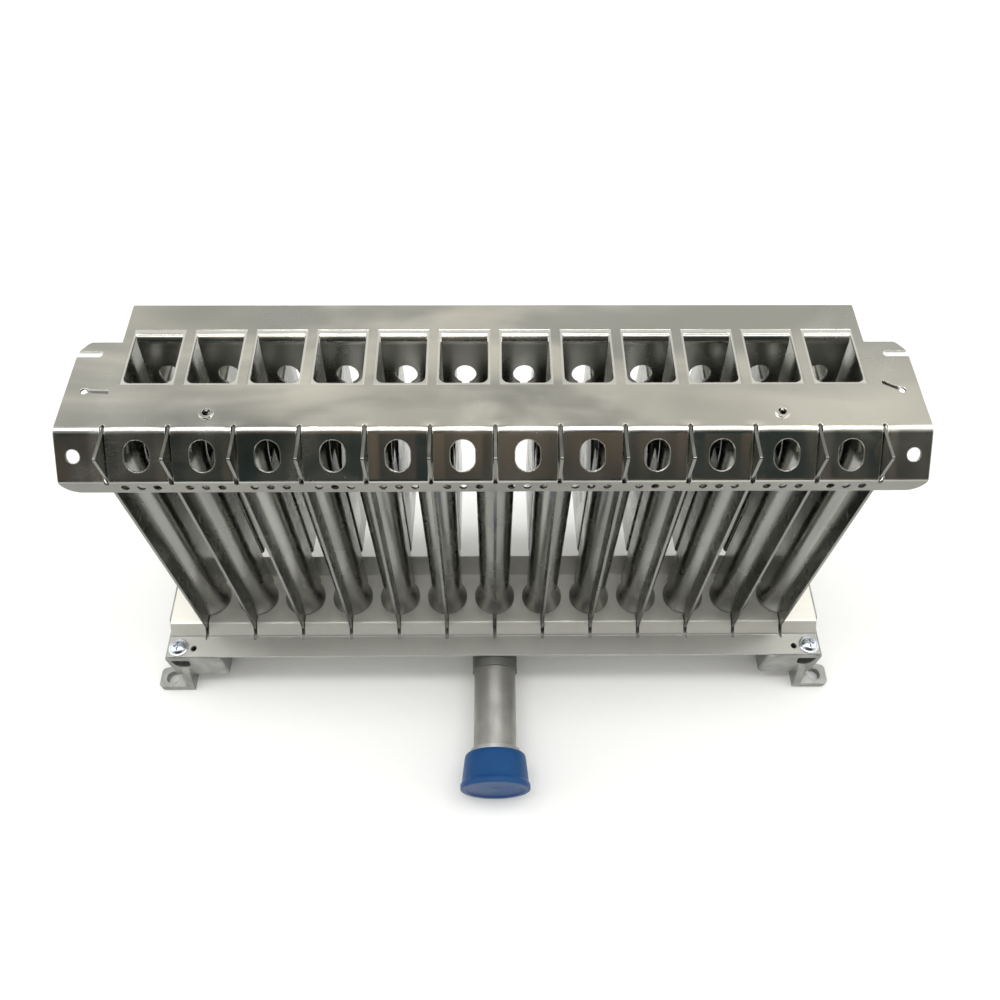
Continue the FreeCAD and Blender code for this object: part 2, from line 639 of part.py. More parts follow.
# ---- manifold -------------------------------------------------------------
def manifold_end():
    """Block, cheek, foot and gusset at the right-hand end of the bar."""
    under_flange = FRONT_FLANGE + SHEET_T
    under_web = FRONT_WEB + SHEET_T
    block = [
        (BLOCK_INNER, BAR_FRONT - CAST_LAP, 0),
        (BAR_HALF, BAR_FRONT - CAST_LAP, 0),
        (BAR_HALF, BLOCK_FRONT, BAR_EDGE_R),
        (BLOCK_INNER, BLOCK_FRONT, BLOCK_INNER_R),
    ]
    cheek = [
        (FRONT_REAR_FOLD + CHEEK_LIP, under_web, CAST_EDGE_R),
        (FRONT_RISER_START - CHEEK_LIP - BAR_EDGE_R, under_web, CAST_EDGE_R),
        (FRONT_RISER_START + CHEEK_LIP, under_flange, CAST_EDGE_R),
        (BLOCK_FRONT, under_flange, CAST_EDGE_R),
        (BLOCK_FRONT, BLOCK_LOW, BAR_EDGE_R),
        (CHEEK_LOW, HEIGHT, CAST_EDGE_R),
        (BAR_REAR, HEIGHT, CAST_EDGE_R),
        (BAR_REAR, BAR_TOP, CHEEK_REAR_R),
    ]
    gusset = [
        (BAR_FRONT, BLOCK_LOW - GUSSET_RISE, 0),
        (BLOCK_FRONT, GUSSET_TOP, 0),
        (FOOT_FRONT, HEIGHT - FOOT_T, 0),
        (FOOT_FRONT, HEIGHT, 0),
        (BAR_FRONT, HEIGHT, 0),
    ]
    foot = [
        (FOOT_INNER, FOOT_REAR - GUSSET_RISE, 0),
        (FOOT_OUTER, FOOT_REAR, FOOT_R),
        (FOOT_OUTER, FOOT_FRONT, FOOT_R),
        (FOOT_INNER, FOOT_FRONT, 0),
    ]
    pocket_inner, pocket_outer, pocket_top, pocket_low = POCKET
    pocket = [
        (pocket_inner, pocket_top, POCKET_TOP_R),
        (pocket_outer, pocket_top, POCKET_TOP_R),
        (pocket_outer - POCKET_TAPER, pocket_low, POCKET_LOW_R),
        (pocket_inner + POCKET_TAPER, pocket_low, POCKET_LOW_R),
    ]
    solid = fuse_all([
        plan_prism(block, under_flange, BLOCK_LOW),
        side_prism(cheek, CHEEK_INNER, BAR_HALF),
        side_prism(gusset, FOOT_INNER, FOOT_INNER + GUSSET_T),
        plan_prism(foot, HEIGHT - FOOT_T, HEIGHT),
    ])
    cuts = [
        front_prism(pocket, BLOCK_FRONT - POCKET_DEPTH, BLOCK_FRONT + OVERCUT),
        upright_rod(FOOT_HOLE[0], FOOT_HOLE[1], HEIGHT - FOOT_T - OVERCUT, HEIGHT + OVERCUT, FOOT_HOLE_R),
        upright_rod(SCREW_AT[0], SCREW_AT[1], under_flange - OVERCUT, FRONT_FLANGE + SCREW_LENGTH, SCREW_R),
        upright_rod(PILOT_AT[0], PILOT_AT[1], under_flange - OVERCUT, BLOCK_LOW + OVERCUT, PILOT_R),
    ]
    return solid.cut(Part.makeCompound(cuts))


def manifold_body():
    bar = rectangle(BAR_REAR, BAR_FRONT, BAR_TOP, HEIGHT, BAR_EDGE_R)
    boss = forward_rod(INLET_BELOW, BOSS_REAR, BOSS_FRONT, BOSS_R)
    solid = fuse_all([side_prism(bar, -BAR_HALF, BAR_HALF), boss] + both_sides(manifold_end()))
    gallery_start = place(-BAR_HALF - OVERCUT, GALLERY_AT[0], GALLERY_AT[1])
    passages = [
        Part.makeCylinder(GALLERY_R, 2 * (BAR_HALF + OVERCUT), gallery_start, X_DIRECTION),
        forward_rod(LINK_BELOW, GALLERY_AT[0], LINK_START + OVERCUT, LINK_R),
        forward_rod(INLET_BELOW, LINK_START, SPIGOT_REAR + OVERCUT, PIPE_BORE_R),
        forward_rod(INLET_BELOW, SPIGOT_REAR, BOSS_FRONT + OVERCUT, SPIGOT_R),
    ]
    for x in BLADE_X:
        passages.append(upright_rod(x, TUBE_AXIS, BAR_TOP - OVERCUT, GALLERY_AT[1], INJECTOR_THREAD_R))
    return solid.cut(fuse_all(passages)).removeSplitter()


def injector(x):
    """Brass jet: threaded shank, hexagon and a conical nose aimed into the bell mouth."""
    hex_low = BAR_TOP - WASHER_T
    hex_top = hex_low - INJECTOR_HEX_H
    nose_top = hex_top - INJECTOR_NOSE_H
    nose_base = place(x, TUBE_AXIS, hex_top)
    nose = Part.makeCone(INJECTOR_HEX / 2, INJECTOR_NOSE_R / 2, INJECTOR_NOSE_H, nose_base, UP)
    body = fuse_all([
        upright_rod(x, TUBE_AXIS, hex_low - OVERCUT, BAR_TOP + INJECTOR_DEPTH, INJECTOR_THREAD_R),
        plan_prism(hexagon(INJECTOR_HEX, x, TUBE_AXIS), hex_top, hex_low),
        nose,
    ])
    bore = upright_rod(x, TUBE_AXIS, hex_top + OVERCUT, BAR_TOP + INJECTOR_DEPTH + OVERCUT, INJECTOR_BORE_R)
    jet = upright_rod(x, TUBE_AXIS, nose_top - OVERCUT, hex_top + 2 * OVERCUT, INJECTOR_JET_R)
    return body.cut(bore).cut(jet)


def washer(x):
    ring = upright_rod(x, TUBE_AXIS, BAR_TOP - WASHER_T, BAR_TOP, WASHER_R)
    return ring.cut(upright_rod(x, TUBE_AXIS, BAR_TOP - OVERCUT, BAR_TOP + OVERCUT, INJECTOR_THREAD_R))


def gallery_plug():
    """Screw plug in the right-hand end of the gallery, with a hexagon socket."""
    start = place(BAR_HALF - PLUG_LENGTH, GALLERY_AT[0], GALLERY_AT[1])
    plug = Part.makeCylinder(GALLERY_R, PLUG_LENGTH, start, X_DIRECTION)
    socket = hexagon(PLUG_HEX, GALLERY_AT[0], GALLERY_AT[1])
    return plug.cut(side_prism(socket, BAR_HALF - PLUG_HEX_DEPTH, BAR_HALF + OVERCUT))


# ---- gas inlet ------------------------------------------------------------
def inlet_pipe():
    profile = [
        (SPIGOT_REAR, PIPE_BORE_R), (SPIGOT_REAR, SPIGOT_R),
        (BOSS_FRONT, SPIGOT_R), (BOSS_FRONT, PIPE_R),
        (FITTING_REAR, PIPE_R), (FITTING_REAR, SPIGOT_R),
        (SPIGOT_FRONT, SPIGOT_R), (SPIGOT_FRONT, PIPE_BORE_R),
    ]
    return turned(profile, INLET_BELOW)


def inlet_fitting():
    """Screwed end of the inlet; the thread is a stack of vee rings at the thread's pitch."""
    profile = [(SPIGOT_FRONT, SPIGOT_R), (FITTING_REAR, SPIGOT_R), (FITTING_REAR, FITTING_COLLAR_R)]
    root = FITTING_R - THREAD_DEPTH
    profile += [(CAP_REAR, FITTING_COLLAR_R), (CAP_REAR, root)]
    for turn in range(THREAD_TURNS):
        start = THREAD_START + turn * THREAD_PITCH
        profile.append((start, root))
        profile += [(start + flank * THREAD_PITCH, FITTING_R) for flank in THREAD_FLANKS]
    profile.append((THREAD_START + THREAD_TURNS * THREAD_PITCH, root))
    profile += [(FITTING_FRONT, root), (FITTING_FRONT, FITTING_BORE_R), (SPIGOT_FRONT, FITTING_BORE_R)]
    return turned(profile, INLET_BELOW)


def thread_cap():
    """Push-on protection cap: a tapered cup with a flange round its closed end."""
    profile = [
        (CAP_REAR, CAP_BORE_R),
        (CAP_REAR, CAP_R_REAR - CAP_CHAMFER),
        (CAP_REAR + CAP_CHAMFER, CAP_R_REAR),
        (CAP_FLANGE_START, CAP_R_FRONT),
        (CAP_FLANGE_START + CAP_CHAMFER, CAP_FLANGE_R),
        (FRONT_REACH - CAP_FRONT_CHAMFER, CAP_FLANGE_R),
        (FRONT_REACH, CAP_FLANGE_R - CAP_FRONT_CHAMFER),
        (FRONT_REACH, 0),
        (CAP_BORE_END, 0),
        (CAP_BORE_END, CAP_BORE_R),
    ]
    return turned(profile, INLET_BELOW)


def panel_screw(side):
    """Pan-head screw with a cross recess."""
    x = side * SCREW_AT[0]
    head = upright_rod(x, SCREW_AT[1], FRONT_FLANGE - SCREW_HEAD_H, FRONT_FLANGE, SCREW_HEAD_R)
    rim = [e for e in head.Edges if e.Vertexes[0].Z > HEIGHT - FRONT_FLANGE + SCREW_EDGE_H and e.Closed]
    head = head.makeFillet(SCREW_HEAD_H - SCREW_EDGE_H, rim)
    shank = upright_rod(x, SCREW_AT[1], FRONT_FLANGE - OVERCUT, FRONT_FLANGE + SCREW_LENGTH, SCREW_R)
    screw = fuse_all([head, shank])
    half_length = RECESS_LENGTH / 2
    half_width = RECESS_W / 2
    top = FRONT_FLANGE - SCREW_HEAD_H
    forward = SCREW_AT[1]
    across = rectangle(x - half_length, x + half_length, forward - half_width, forward + half_width)
    along = rectangle(x - half_width, x + half_width, forward - half_length, forward + half_length)
    recess = [plan_prism(arm, top - OVERCUT, top + RECESS_DEPTH) for arm in (across, along)]
    return screw.cut(Part.makeCompound(recess))


def export(name, shape):
    shape.exportStep(os.path.join("parts", name + ".step"))


def export_blades():
    right = half_blade()
    left = right.mirror(FreeCAD.Vector(0, 0, 0), X_DIRECTION)
    strip = port_strip()
    for number, x in enumerate(BLADE_X, start=1):
        shift = FreeCAD.Vector(x, 0, 0)
        export(f"blade_{number:02d}_left_shell", left.translated(shift))
        export(f"blade_{number:02d}_right_shell", right.translated(shift))
        export(f"blade_{number:02d}_port_strip", strip.translated(shift))


os.makedirs("parts", exist_ok=True)
export_blades()
export("head_panel", head_panel())
export("front_panel", front_panel())
export("manifold_body", manifold_body())
export("injectors", Part.makeCompound([injector(x) for x in BLADE_X]))
export("injector_washers", Part.makeCompound([washer(x) for x in BLADE_X]))
export("gallery_plugs", Part.makeCompound(both_sides(gallery_plug())))
export("inlet_pipe", inlet_pipe())
export("inlet_fitting", inlet_fitting())
export("thread_cap", thread_cap())
export("panel_screws", Part.makeCompound([panel_screw(side) for side in SIDES]))
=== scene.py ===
import math

import bmesh
import bpy
from mathutils import Matrix, Vector


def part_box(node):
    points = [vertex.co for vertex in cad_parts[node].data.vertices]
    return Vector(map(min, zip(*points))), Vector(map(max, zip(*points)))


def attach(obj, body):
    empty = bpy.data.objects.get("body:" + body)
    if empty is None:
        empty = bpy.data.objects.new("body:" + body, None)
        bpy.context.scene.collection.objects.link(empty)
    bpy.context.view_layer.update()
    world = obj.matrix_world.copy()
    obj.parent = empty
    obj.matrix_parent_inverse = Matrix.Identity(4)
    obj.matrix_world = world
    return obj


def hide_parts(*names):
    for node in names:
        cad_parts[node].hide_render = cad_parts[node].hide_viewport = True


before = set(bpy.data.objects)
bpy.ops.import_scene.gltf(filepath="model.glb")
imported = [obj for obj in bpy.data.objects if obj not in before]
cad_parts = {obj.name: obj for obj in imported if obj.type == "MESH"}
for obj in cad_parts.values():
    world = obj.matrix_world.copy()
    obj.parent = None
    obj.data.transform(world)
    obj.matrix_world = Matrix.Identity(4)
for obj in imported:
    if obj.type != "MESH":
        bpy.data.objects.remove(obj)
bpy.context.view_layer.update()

MM = 0.001


def mm(*lengths):
    """Lengths given in millimetres, as metres."""
    return tuple(length * MM for length in lengths)


# ---- where the finishes change ---------------------------------------------
# A pair is the start and the end of a soft step, in metres in the row frame.
BLADE_PITCH = 21.0 * MM
WINDOW_SIDE = 2.3 * MM          # from a blade's middle plane to the window beside it
WINDOW_FRONT = 28.3 * MM
WINDOW_REAR = 51.6 * MM
RIM_WIDTH = mm(0.35, 0.9)
ROW_END = mm(124.5, 125.5)
SLOT_PULL_WIDTH = mm(0.0, 5.0)
SLOT_PULL_REAR = mm(7.0, 13.0)
BAND_TOP = mm(144.4, 145.6)
BAND_REAR = mm(-1.0, 4.0)
FLAP_TOP = mm(154.0, 156.4)
FLAP_FRONT = mm(15.0, 20.0)
LIP_TOP = mm(156.6, 156.9)
SHEET_TOP = mm(156.9, 157.1)
SLOPE_TOP = mm(154.6, 155.2)
SLOPE_REAR = mm(8.0, 9.0)
FLANGE_TOP = mm(25.7, 26.3)
SEAM_FRONT = mm(-2.15, -1.95)
WELD_LINE = 1.2 * MM
WELD_LOWEST = 6.0 * MM
WELD_HALF_PITCH = 11.0 * MM
WELD_RADIUS = mm(0.9, 1.7)
BOSS_SIDE = mm(11.0, 13.0)
BOSS_REAR = mm(-12.0, -9.0)

METAL = 1.0
COATED_METAL = 0.65


# ---- node tree helpers -----------------------------------------------------
class Tree:
    """Builds a node tree; inputs take numbers, colours or other nodes' outputs."""

    def __init__(self, tree):
        self.tree = tree
        tree.nodes.clear()

    def feed(self, socket, value):
        """Link an output to a socket, or set the socket to a number or a colour."""
        if isinstance(value, bpy.types.NodeSocket):
            self.tree.links.new(value, socket)
        elif socket.type == "RGBA" and len(value) == 3:
            socket.default_value = (*value, 1.0)
        else:
            socket.default_value = value

    def node(self, kind, inputs=None, **settings):
        made = self.tree.nodes.new("ShaderNode" + kind)
        for key, value in settings.items():
            setattr(made, key, value)
        for key, value in (inputs or {}).items():
            self.feed(made.inputs[key], value)
        return made

    def math(self, operation, *values):
        made = self.node("Math", dict(enumerate(values)), operation=operation)
        return made.outputs[0]

    def times(self, first, second):
        return self.math("MULTIPLY", first, second)

    def plus(self, first, second):
        return self.math("ADD", first, second)

    def minus(self, first, second):
        return self.math("SUBTRACT", first, second)

    def coords(self):
        return self.node("TexCoord").outputs["Object"]

    def axis(self, name):
        return self.node("SeparateXYZ", {0: self.coords()}).outputs[name]

    def from_middle(self):
        """Distance from the middle of the row, along it."""
        return self.math("ABSOLUTE", self.axis("X"))

    def noise(self, scale, detail=2.0, stretch=(1, 1, 1), turn=0.0, distortion=0.0):
        mapping = self.node("Mapping", {
            "Vector": self.coords(), "Scale": stretch, "Rotation": (turn, turn, turn),
        })
        made = self.node("TexNoise", {
            "Vector": mapping.outputs[0], "Scale": scale, "Detail": detail, "Distortion": distortion,
        })
        return made.outputs["Fac"]

    def spread(self, value, low, high, out_low=0.0, out_high=1.0):
        """Smooth step of value from low..high to out_low..out_high."""
        made = self.node("MapRange", {
            "Value": value, "From Min": low, "From Max": high, "To Min": out_low, "To Max": out_high,
        }, interpolation_type="SMOOTHSTEP")
        return made.outputs["Result"]

    def rise(self, value, span):
        """0 before the span and 1 after it."""
        return self.spread(value, *span)

    def fall(self, value, span):
        """1 before the span and 0 after it."""
        return self.spread(value, *span, 1.0, 0.0)

    def mix(self, factor, first, second):
        """Blend of two colours: the first at factor 0, the second at factor 1."""
        made = self.node("Mix", {0: factor}, data_type="RGBA")
        for socket, value in zip((s for s in made.inputs if s.type == "RGBA"), (first, second)):
            self.feed(socket, value)
        return next(s for s in made.outputs if s.type == "RGBA")

    def bump(self, height, distance, normal=None):
        inputs = {"Height": height, "Distance": distance, "Strength": 1.0}
        if normal is not None:
            inputs["Normal"] = normal
        return self.node("Bump", inputs).outputs[0]

    def bevel(self, radius):
        """Normal that rounds the mesh's sharp edges."""
        return self.node("Bevel", {"Radius": radius}, samples=4).outputs[0]

    def edges(self, rounded, width=0.12):
        """1 along sharp edges, 0 on flat faces."""
        flat = self.node("NewGeometry").outputs["Normal"]
        dot = self.node("VectorMath", {0: rounded, 1: flat}, operation="DOT_PRODUCT").outputs["Value"]
        return self.fall(dot, (1.0 - width, 1.0))


def material(name, build):
    made = bpy.data.materials.new(name)
    made.use_nodes = True
    tree = Tree(made.node_tree)
    shader = tree.node("BsdfPrincipled", build(tree))
    tree.node("OutputMaterial", {"Surface": shader.outputs[0]})
    return made


# ---- finishes --------------------------------------------------------------
def scratches(tree, stretch, turn):
    """Thin lines, long where stretch is small."""
    return tree.rise(tree.noise(900.0, detail=0.0, stretch=stretch, turn=turn), (0.70, 0.78))


def window_rims(tree, beside_blade):
    """1 on the flat sheet right beside a window."""
    beside = tree.minus(WINDOW_SIDE, beside_blade)
    before = tree.minus(WINDOW_FRONT, tree.axis("Y"))
    behind = tree.minus(tree.axis("Y"), WINDOW_REAR)
    outside = tree.math("MAXIMUM", beside, tree.math("MAXIMUM", before, behind))
    flat = tree.times(tree.rise(tree.axis("Z"), SHEET_TOP), tree.fall(tree.from_middle(), ROW_END))
    return tree.times(tree.fall(outside, RIM_WIDTH), flat)


def dull_and_shaded_parts(tree):
    """1 on the front band, the window flaps and the lips of the hook slits: rougher there, and darkened as
    painted shade.
    """
    band = tree.times(tree.fall(tree.axis("Z"), BAND_TOP), tree.fall(tree.axis("Y"), BAND_REAR))
    rearward = tree.rise(tree.axis("Y"), FLAP_FRONT)
    flap = tree.times(tree.fall(tree.axis("Z"), FLAP_TOP), rearward)
    past_row = tree.times(tree.rise(tree.from_middle(), ROW_END), rearward)
    lip = tree.times(tree.fall(tree.axis("Z"), LIP_TOP), past_row)
    return tree.math("MINIMUM", tree.plus(tree.times(tree.plus(band, flap), 0.85), lip), 1.0)


def bright_sheet(tree):
    """Bright rolled stainless: soft waves, rolling grain, smears and a pull beside each blade slot."""
    rounded = tree.bevel(0.45 * MM)
    beside_blade = tree.math("PINGPONG", tree.axis("X"), BLADE_PITCH / 2)
    pull = tree.times(tree.fall(beside_blade, SLOT_PULL_WIDTH), tree.fall(tree.axis("Y"), SLOT_PULL_REAR))
    grain = tree.noise(60.0, detail=3.0, stretch=(1, 30, 30))
    rim = window_rims(tree, beside_blade)
    dull_and_shade = dull_and_shaded_parts(tree)

    normal = tree.bump(tree.noise(13.0, detail=1.0, distortion=0.3), 1.6 * MM, rounded)
    normal = tree.bump(pull, 0.16 * MM, normal)
    normal = tree.bump(grain, 0.004 * MM, normal)
    normal = tree.bump(rim, -0.10 * MM, normal)

    patch = tree.rise(tree.noise(11.0, detail=3.0, stretch=(0.6, 1.6, 1), distortion=0.9), (0.40, 0.62))
    slope = tree.times(tree.fall(tree.axis("Z"), SLOPE_TOP), tree.fall(tree.axis("Y"), SLOPE_REAR))
    # painted highlight: sharp edges lightened, less on the chamfer
    edge_highlight = tree.times(tree.edges(rounded), tree.spread(slope, 0.0, 1.0, 0.75, 0.3))
    colour = tree.mix(patch, (0.86, 0.84, 0.765), (0.52, 0.52, 0.49))
    # painted shade: the front band, the window flaps in their recesses and the hook-slit lips darkened
    colour = tree.mix(dull_and_shade, colour, (0.17, 0.17, 0.155))
    # painted highlight: a light line round each window's rim
    colour = tree.mix(tree.times(rim, 0.9), colour, (1.0, 0.99, 0.95))
    colour = tree.mix(edge_highlight, colour, (0.95, 0.94, 0.90))

    smear = tree.noise(26.0, detail=5.0, distortion=1.2)
    marks = tree.plus(scratches(tree, (0.06, 1, 1), 0.3), scratches(tree, (1, 0.09, 1), 0.9))
    rough = tree.spread(smear, 0.35, 0.75, 0.11, 0.26)
    for mask, added in ((grain, 0.06), (dull_and_shade, 0.12), (marks, 0.02)):
        rough = tree.plus(rough, tree.times(mask, added))
    return {"Base Color": colour, "Metallic": METAL, "Roughness": rough, "Normal": normal}


def satin_sheet(tree):
    """The front panel's duller sheet, frosted by its coating."""
    rounded = tree.bevel(0.4 * MM)
    normal = tree.bump(tree.noise(20.0, detail=1.0), 0.35 * MM, rounded)
    normal = tree.bump(tree.noise(1500.0), 0.03 * MM, normal)

    blotch = tree.noise(45.0, detail=4.0, distortion=0.8)
    flange = tree.fall(tree.axis("Z"), FLANGE_TOP)
    colour = tree.mix(tree.rise(blotch, (0.35, 0.7)), (0.93, 0.915, 0.84), (0.83, 0.82, 0.755))
    # painted shade: the lower flange darkened, standing for the dark reflection on it
    colour = tree.mix(tree.times(flange, 0.8), colour, (0.32, 0.32, 0.295))
    # painted highlight: sharp edges lightened
    colour = tree.mix(tree.times(tree.edges(rounded), 0.6), colour, (0.96, 0.95, 0.91))

    rough = tree.spread(blotch, 0.3, 0.7, 0.36, 0.48)
    rough = tree.plus(rough, tree.times(scratches(tree, (0.08, 1, 1), 0.5), 0.03))
    return {"Base Color": colour, "Metallic": COATED_METAL, "Roughness": rough, "Normal": normal}


def spot_welds(tree):
    """1 on a row of spots down the seam."""
    across = tree.minus(tree.axis("Y"), WELD_LINE)
    along = tree.math("PINGPONG", tree.minus(tree.axis("Z"), WELD_LOWEST), WELD_HALF_PITCH)
    reach = tree.math("SQRT", tree.plus(tree.times(across, across), tree.times(along, along)))
    return tree.fall(reach, WELD_RADIUS)


def blade_sheet(tree):
    """Pressed blade shells: drawing streaks along the tubes and spot welds down the seam."""
    weld = spot_welds(tree)
    normal = tree.bump(tree.noise(30.0, detail=1.0, stretch=(1, 1, 0.35)), 0.25 * MM)
    normal = tree.bump(weld, -0.15 * MM, normal)

    band = tree.noise(55.0, stretch=(1.5, 1.5, 0.12))
    streak = tree.rise(tree.noise(70.0, detail=1.0, stretch=(4, 4, 0.1)), (0.40, 0.75))
    seam_front_shade = tree.fall(tree.axis("Y"), SEAM_FRONT)
    colour = tree.mix(tree.rise(band, (0.38, 0.62)), (0.37, 0.375, 0.348), (0.235, 0.24, 0.222))
    colour = tree.mix(tree.times(streak, 0.20), colour, (0.22, 0.22, 0.205))
    colour = tree.mix(tree.times(weld, 0.55), colour, (0.24, 0.22, 0.18))
    # painted shade: the seam's front edge darkened
    colour = tree.mix(tree.times(seam_front_shade, 0.75), colour, (0.20, 0.20, 0.185))

    rough = tree.spread(tree.noise(55.0, detail=4.0), 0.3, 0.7, 0.20, 0.32)
    return {"Base Color": colour, "Metallic": METAL, "Roughness": rough, "Normal": normal}


def port_sheet(tree):
    """Flame port strips, faintly straw coloured by a works test firing."""
    rounded = tree.bevel(0.15 * MM)
    tint = tree.noise(60.0, detail=3.0, stretch=(1, 1, 0.4))
    colour = tree.mix(tree.rise(tint, (0.4, 0.7)), (0.58, 0.57, 0.53), (0.50, 0.43, 0.33))
    # painted highlight: sharp edges lightened
    colour = tree.mix(tree.times(tree.edges(rounded), 0.5), colour, (0.80, 0.79, 0.75))
    normal = tree.bump(tree.noise(900.0), 0.01 * MM, rounded)
    rough = tree.spread(tint, 0.3, 0.7, 0.24, 0.38)
    return {"Base Color": colour, "Metallic": METAL, "Roughness": rough, "Normal": normal}


def cast_metal(tree):
    """Die-cast aluminium: rounded edges, flow mottling, pits and a painted shadow on the boss under the
    flange.
    """
    rounded = tree.bevel(0.7 * MM)
    flow = tree.noise(70.0, detail=4.0, distortion=1.5)
    normal = tree.bump(flow, 0.25 * MM, rounded)
    normal = tree.bump(tree.noise(1300.0), 0.05 * MM, normal)

    pits = tree.rise(tree.noise(420.0, detail=1.0), (0.68, 0.76))
    # painted shadow: the boss darkened where it lies under the flange
    boss_shadow = tree.times(tree.fall(tree.from_middle(), BOSS_SIDE), tree.fall(tree.axis("Y"), BOSS_REAR))
    colour = tree.mix(tree.rise(flow, (0.35, 0.7)), (0.40, 0.40, 0.385), (0.32, 0.32, 0.31))
    colour = tree.mix(tree.times(pits, 0.5), colour, (0.24, 0.24, 0.232))
    # painted highlight: sharp edges lightened
    colour = tree.mix(tree.times(tree.edges(rounded), 0.5), colour, (0.58, 0.58, 0.565))
    colour = tree.mix(tree.times(boss_shadow, 0.8), colour, (0.16, 0.16, 0.15))

    rough = tree.spread(flow, 0.3, 0.7, 0.42, 0.58)
    return {"Base Color": colour, "Metallic": METAL, "Roughness": rough, "Normal": normal}


def turned_metal(light, dark, smoothest, roughest, ring_stretch):
    """Finish of lathe-turned metal with its rings across the part's axis."""
    def build(tree):
        rounded = tree.bevel(0.15 * MM)
        blotch = tree.noise(90.0, detail=3.0)
        colour = tree.mix(tree.rise(blotch, (0.35, 0.7)), light, dark)
        # painted highlight: sharp edges lightened
        colour = tree.mix(tree.times(tree.edges(rounded), 0.4), colour, (0.9, 0.9, 0.88))
        normal = tree.bump(tree.noise(120.0, detail=3.0, stretch=ring_stretch), 0.012 * MM, rounded)
        rough = tree.spread(blotch, 0.3, 0.7, smoothest, roughest)
        return {"Base Color": colour, "Metallic": METAL, "Roughness": rough, "Normal": normal}
    return build


def moulded_plastic(tree):
    """Blue polyethylene: a soft skin with flow marks, scuffs and whitened edges."""
    rounded = tree.bevel(0.4 * MM)
    flow = tree.noise(60.0, detail=3.0, stretch=(1, 0.4, 1), distortion=0.6)
    normal = tree.bump(flow, 0.25 * MM, rounded)
    normal = tree.bump(tree.noise(900.0), 0.02 * MM, normal)
    scuff = tree.times(tree.edges(rounded, width=0.2), tree.rise(tree.noise(300.0, detail=3.0), (0.4, 0.65)))
    colour = tree.mix(tree.rise(flow, (0.3, 0.75)), (0.011, 0.056, 0.176), (0.015, 0.074, 0.212))
    colour = tree.mix(tree.times(scuff, 0.5), colour, (0.16, 0.27, 0.45))
    return {
        "Base Color": colour,
        "Roughness": tree.spread(flow, 0.3, 0.7, 0.30, 0.46),
        "Normal": normal,
        "Specular IOR Level": 0.16,
        "Subsurface Weight": 0.15,
        "Subsurface Radius": (0.4, 0.8, 2.0),
        "Subsurface Scale": 0.6 * MM,
    }


RINGS_ALONG_Y = (1, 9, 1)
RINGS_ALONG_Z = (1, 1, 9)
BUILDERS = {
    "bright_sheet": bright_sheet,
    "satin_sheet": satin_sheet,
    "blade_sheet": blade_sheet,
    "port_sheet": port_sheet,
    "cast_metal": cast_metal,
    "pipe_metal": turned_metal((0.37, 0.367, 0.34), (0.30, 0.297, 0.278), 0.42, 0.52, RINGS_ALONG_Y),
    "fitting_metal": turned_metal((0.40, 0.405, 0.41), (0.32, 0.325, 0.33), 0.38, 0.50, RINGS_ALONG_Y),
    "brass_metal": turned_metal((0.78, 0.58, 0.26), (0.66, 0.46, 0.19), 0.18, 0.3, RINGS_ALONG_Z),
    "washer_metal": turned_metal((0.66, 0.66, 0.66), (0.5, 0.5, 0.5), 0.35, 0.5, RINGS_ALONG_Z),
    "zinc_metal": turned_metal((0.68, 0.73, 0.79), (0.56, 0.61, 0.69), 0.16, 0.3, RINGS_ALONG_Z),
    "blue_plastic": moulded_plastic,
}
FINISHES = {name: material(name, build) for name, build in BUILDERS.items()}
NODE_FINISH = {
    "head_panel": "bright_sheet",
    "front_panel": "satin_sheet",
    "manifold_body": "cast_metal",
    "injectors": "brass_metal",
    "injector_washers": "washer_metal",
    "gallery_plugs": "zinc_metal",
    "inlet_pipe": "pipe_metal",
    "inlet_fitting": "fitting_metal",
    "panel_screws": "zinc_metal",
    "thread_cap": "blue_plastic",
}


def node_finish(node):
    """Finish of a CAD node; the nodes that aren't listed are the blades' three parts."""
    blade_part = "port_sheet" if node.endswith("port_strip") else "blade_sheet"
    return FINISHES[NODE_FINISH.get(node, blade_part)]


for node_name, node_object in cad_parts.items():
    for material_slot in node_object.material_slots:
        material_slot.material = node_finish(node_name)


# ---- mesh helpers ----------------------------------------------------------
def add_object(name, data):
    made = bpy.data.objects.new(name, data)
    bpy.context.scene.collection.objects.link(made)
    return made


def add_piece(name, mesh, body, node, sharp_degrees):
    """Link a mesh as a piece that stands for a CAD node; edges over the angle are shaded sharp."""
    mesh.materials.clear()
    mesh.materials.append(node_finish(node))
    mesh.polygons.foreach_set("use_smooth", [True] * len(mesh.polygons))
    mesh.set_sharp_from_angle(angle=math.radians(sharp_degrees))
    piece = add_object(name, mesh)
    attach(piece, body)
    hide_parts(node)


def lathe(bm, profile, middle, along, segments):
    """Turn a profile of (distance along the axis, radius) points, in mm, about an axis through middle."""
    along = Vector(along).normalized()
    first = along.orthogonal().normalized()
    second = along.cross(first)
    angles = [2 * math.pi * i / segments for i in range(segments)]
    rings = []
    for distance, radius in profile:
        centre = Vector(middle) + along * distance * MM
        if radius == 0:
            rings.append([bm.verts.new(centre)])
            continue
        spokes = [first * math.cos(angle) + second * math.sin(angle) for angle in angles]
        rings.append([bm.verts.new(centre + spoke * radius * MM) for spoke in spokes])
    for low, high in zip(rings, rings[1:]):
        for i in range(segments):
            j = (i + 1) % segments
            corners = [low[i % len(low)], low[j % len(low)], high[j % len(high)], high[i % len(high)]]
            bm.faces.new(list(dict.fromkeys(corners)))


def finished_mesh(name, bm):
    """Mesh of a bmesh, with its normals pointing out."""
    bmesh.ops.recalc_face_normals(bm, faces=bm.faces)
    mesh = bpy.data.meshes.new(name)
    bm.to_mesh(mesh)
    bm.free()
    return mesh


